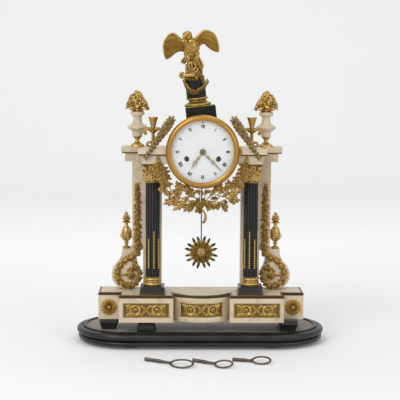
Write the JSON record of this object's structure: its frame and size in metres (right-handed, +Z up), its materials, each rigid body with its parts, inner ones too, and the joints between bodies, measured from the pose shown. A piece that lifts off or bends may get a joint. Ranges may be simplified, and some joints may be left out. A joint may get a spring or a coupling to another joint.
{
  "type": "portico clock",
  "caption": "Free-standing portico mantel clock: marble columns and base, gilt mounts, round enamel dial with hands, swinging sunburst pendulum, striking movement, oval stand.",
  "frame": {"origin": "on the table under the middle of the oval stand", "axes": "+Z up, +X to the right when facing the dial, -Y to the front, where the dial faces"},
  "size_m": [0.466, 0.3319, 0.5824],
  "materials": {
    "white_marble": "polished",
    "black_marble": "polished",
    "ormolu": "satin",
    "ebonised_wood": "satin",
    "foot_wood": "satin",
    "enamel": "glossy",
    "crystal": "polished",
    "steel": "satin",
    "movement_brass": "brushed",
    "bell_metal": "polished",
    "key_steel": "worn"
  },
  "bodies": {
    "case": {"stand_board": "ebonised_wood", "stand_rim": "ebonised_wood", "stand_feet": "foot_wood", "base_block": "white_marble", "base_feet": "black_marble", "bead_strips": "ormolu", "base_friezes": "ormolu", "base_rosettes": "ormolu", "column_plinths": "black_marble", "column_bases": "ormolu", "column_shafts": "black_marble", "column_cabling": "ormolu", "column_capitals": "ormolu", "tie_rods": "steel", "pilasters": "white_marble", "pilaster_garlands": "ormolu", "side_consoles": "white_marble", "console_mounts": "ormolu", "console_urns": "ormolu", "architrave": "white_marble", "cornice": "white_marble", "cornice_urns": "white_marble", "urn_mounts": "ormolu", "cornice_trophies": "ormolu", "drum_case": "ormolu", "hinge_pins": "steel", "dial": "enamel", "movement_plates": "movement_brass", "plate_pillars": "movement_brass", "bell": "bell_metal", "suspension_cock": "movement_brass", "finial_block": "black_marble", "finial_column": "black_marble", "finial_mounts": "ormolu", "eagle": "ormolu", "swag": "ormolu"},
    "bezel_door": {"bezel": "ormolu", "bezel_glass": "crystal"},
    "back_door": {"rear_door": "ormolu"},
    "minute": {"minute_hand": "ormolu"},
    "centre": {"centre_wheel": "movement_brass"},
    "intermediate": {"intermediate_wheel": "movement_brass"},
    "going_barrel_turn": {"going_barrel": "movement_brass"},
    "third": {"third_wheel": "movement_brass"},
    "escape": {"escape_wheel": "movement_brass"},
    "motion": {"minute_wheel": "movement_brass"},
    "hour": {"hour_wheel": "movement_brass", "hour_hand": "ormolu"},
    "going_winder": {"going_arbor": "steel"},
    "strike_winder": {"strike_arbor": "steel"},
    "strike_barrel_turn": {"strike_barrel": "movement_brass"},
    "strike_pins": {"strike_wheel": "movement_brass"},
    "hammer_lever": {"hammer": "steel"},
    "pallets": {"anchor": "steel"},
    "pendulum": {"pendulum_rod": "steel", "pendulum_bob": "ormolu"},
    "regulator": {"regulator_arbor": "steel"},
    "loose_key_1": {"key_1": "key_steel"},
    "loose_key_2": {"key_2": "key_steel"},
    "loose_key_3": {"key_3": "key_steel"}
  },
  "joints": [
    {"name": "bezel_hinge", "type": "hinge", "parent": "case", "child": "bezel_door", "pos_m": [0.0687, -0.0854, 0.3633], "axis": [0, 0, 1], "range_deg": [0, 85]},
    {"name": "rear_door_hinge", "type": "hinge", "parent": "case", "child": "back_door", "pos_m": [0.064, 0.0061, 0.3633], "axis": [0, 0, -1], "range_deg": [0, 100]},
    {"name": "minute_hand_turn", "type": "hinge", "parent": "case", "child": "minute", "pos_m": [0, -0.06, 0.3633], "axis": [0, 1, 0], "continuous": true},
    {"name": "hour_hand_turn", "type": "hinge", "parent": "case", "child": "hour", "pos_m": [0, -0.06, 0.3633], "axis": [0, 1, 0], "continuous": true},
    {"name": "minute_wheel_turn", "type": "hinge", "parent": "case", "child": "motion", "pos_m": [0, -0.06, 0.3741], "axis": [0, 1, 0], "continuous": true},
    {"name": "centre_wheel_turn", "type": "hinge", "parent": "case", "child": "centre", "pos_m": [0, -0.06, 0.3633], "axis": [0, 1, 0], "continuous": true},
    {"name": "intermediate_wheel_turn", "type": "hinge", "parent": "case", "child": "intermediate", "pos_m": [0.01404, -0.06, 0.37375], "axis": [0, 1, 0], "continuous": true},
    {"name": "going_barrel_spin", "type": "hinge", "parent": "case", "child": "going_barrel_turn", "pos_m": [0.0281, -0.06, 0.3507], "axis": [0, 1, 0], "continuous": true},
    {"name": "third_wheel_turn", "type": "hinge", "parent": "case", "child": "third", "pos_m": [-0.01019, -0.06, 0.37564], "axis": [0, 1, 0], "continuous": true},
    {"name": "escape_wheel_turn", "type": "hinge", "parent": "case", "child": "escape", "pos_m": [0, -0.06, 0.3853], "axis": [0, 1, 0], "continuous": true},
    {"name": "going_winding", "type": "hinge", "parent": "case", "child": "going_winder", "pos_m": [0.0281, -0.06, 0.3507], "axis": [0, 1, 0], "continuous": true},
    {"name": "strike_winding", "type": "hinge", "parent": "case", "child": "strike_winder", "pos_m": [-0.0281, -0.06, 0.3507], "axis": [0, 1, 0], "continuous": true},
    {"name": "strike_barrel_spin", "type": "hinge", "parent": "case", "child": "strike_barrel_turn", "pos_m": [-0.0281, -0.06, 0.3507], "axis": [0, 1, 0], "continuous": true},
    {"name": "pin_wheel_turn", "type": "hinge", "parent": "case", "child": "strike_pins", "pos_m": [-0.02559, -0.06, 0.37758], "axis": [0, 1, 0], "continuous": true},
    {"name": "hammer_lift", "type": "hinge", "parent": "case", "child": "hammer_lever", "pos_m": [-0.0375, -0.06, 0.3913], "axis": [0, 1, 0], "range_deg": [0, 8], "stiffness_Nm_per_rad": 0.002, "springref_deg": -17.19},
    {"name": "pendulum_swing", "type": "hinge", "parent": "case", "child": "pendulum", "pos_m": [0, -0.033, 0.4013], "axis": [0, 1, 0], "range_deg": [-4, 4]},
    {"name": "anchor_rock", "type": "hinge", "parent": "case", "child": "pallets", "pos_m": [0, -0.04, 0.4013], "axis": [0, 1, 0], "range_deg": [-4, 4]},
    {"name": "regulator_turn", "type": "hinge", "parent": "case", "child": "regulator", "pos_m": [0, -0.06, 0.4163], "axis": [0, 1, 0], "continuous": true},
    {"name": "key_1_lift", "type": "slide", "parent": "case", "child": "loose_key_1", "axis": [0, 0, 1], "range_m": [0, 0.06]},
    {"name": "key_2_lift", "type": "slide", "parent": "case", "child": "loose_key_2", "axis": [0, 0, 1], "range_m": [0, 0.06]},
    {"name": "key_3_lift", "type": "slide", "parent": "case", "child": "loose_key_3", "axis": [0, 0, 1], "range_m": [0, 0.06]}
  ],
  "couplings": [
    {"joint": "hour_hand_turn", "follows": "minute_hand_turn", "ratio": 0.083333},
    {"joint": "minute_wheel_turn", "follows": "minute_hand_turn", "ratio": -0.33333},
    {"joint": "centre_wheel_turn", "follows": "minute_hand_turn", "ratio": 1},
    {"joint": "intermediate_wheel_turn", "follows": "minute_hand_turn", "ratio": -0.16667},
    {"joint": "going_barrel_spin", "follows": "minute_hand_turn", "ratio": 0.020833},
    {"joint": "third_wheel_turn", "follows": "minute_hand_turn", "ratio": -9},
    {"joint": "escape_wheel_turn", "follows": "minute_hand_turn", "ratio": 108},
    {"joint": "pin_wheel_turn", "follows": "strike_barrel_spin", "ratio": -8},
    {"joint": "anchor_rock", "follows": "pendulum_swing", "ratio": 1}
  ]
}
